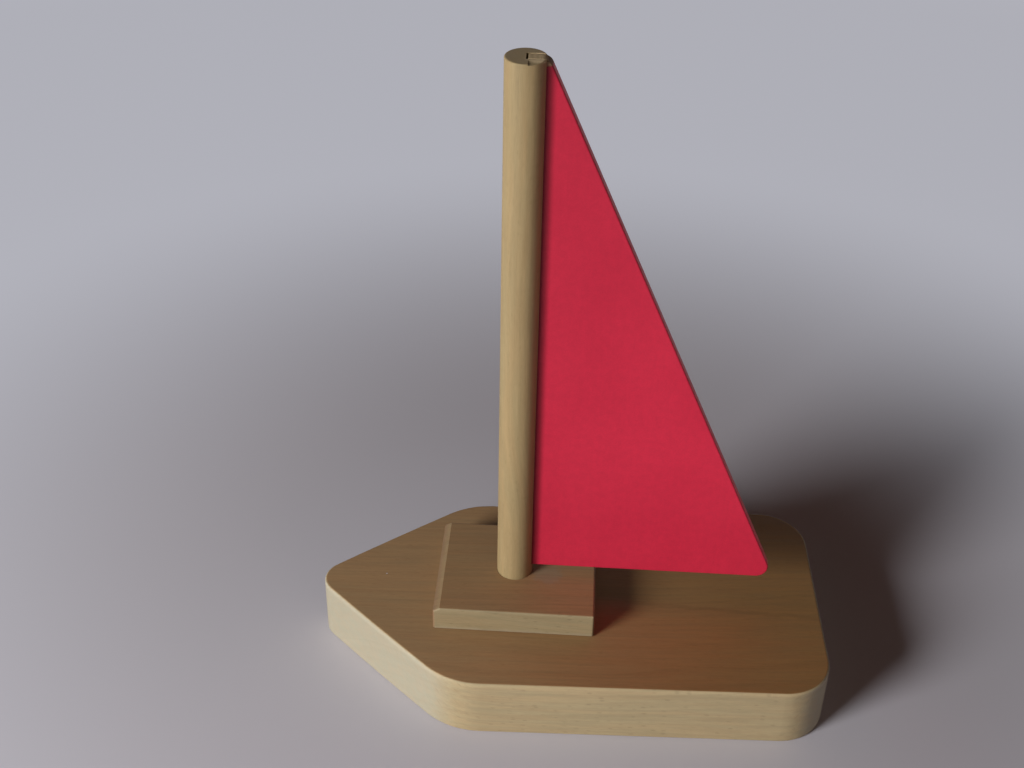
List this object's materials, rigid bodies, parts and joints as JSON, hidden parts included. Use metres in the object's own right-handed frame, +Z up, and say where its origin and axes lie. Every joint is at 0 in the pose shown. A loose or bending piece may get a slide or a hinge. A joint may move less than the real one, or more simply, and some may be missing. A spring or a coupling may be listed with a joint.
{
  "type": "toy sailboat",
  "caption": "Small wooden toy sailboat: flat board hull with a pointed bow, mast step, round mast and a red triangular board sail.",
  "frame": {"origin": "centre of the hull's underside, midway between bow tip and stern", "axes": "+X from bow to stern, +Y to starboard, +Z up the mast"},
  "size_m": [0.1443, 0.0754, 0.1838],
  "materials": {
    "hull_wood": "sanded bare beech, matte with a faint satin where handled",
    "step_wood": "sanded bare beech, matte with a faint satin where handled",
    "mast_wood": "sanded bare beech, matte with a faint satin where handled",
    "sail_red": "matte red paint, with bare sawn wood at the head's end"
  },
  "bodies": {
    "root": {"hull": "hull_wood", "mast_step": "step_wood", "mast": "mast_wood", "sail": "sail_red"}
  },
  "joints": []
}
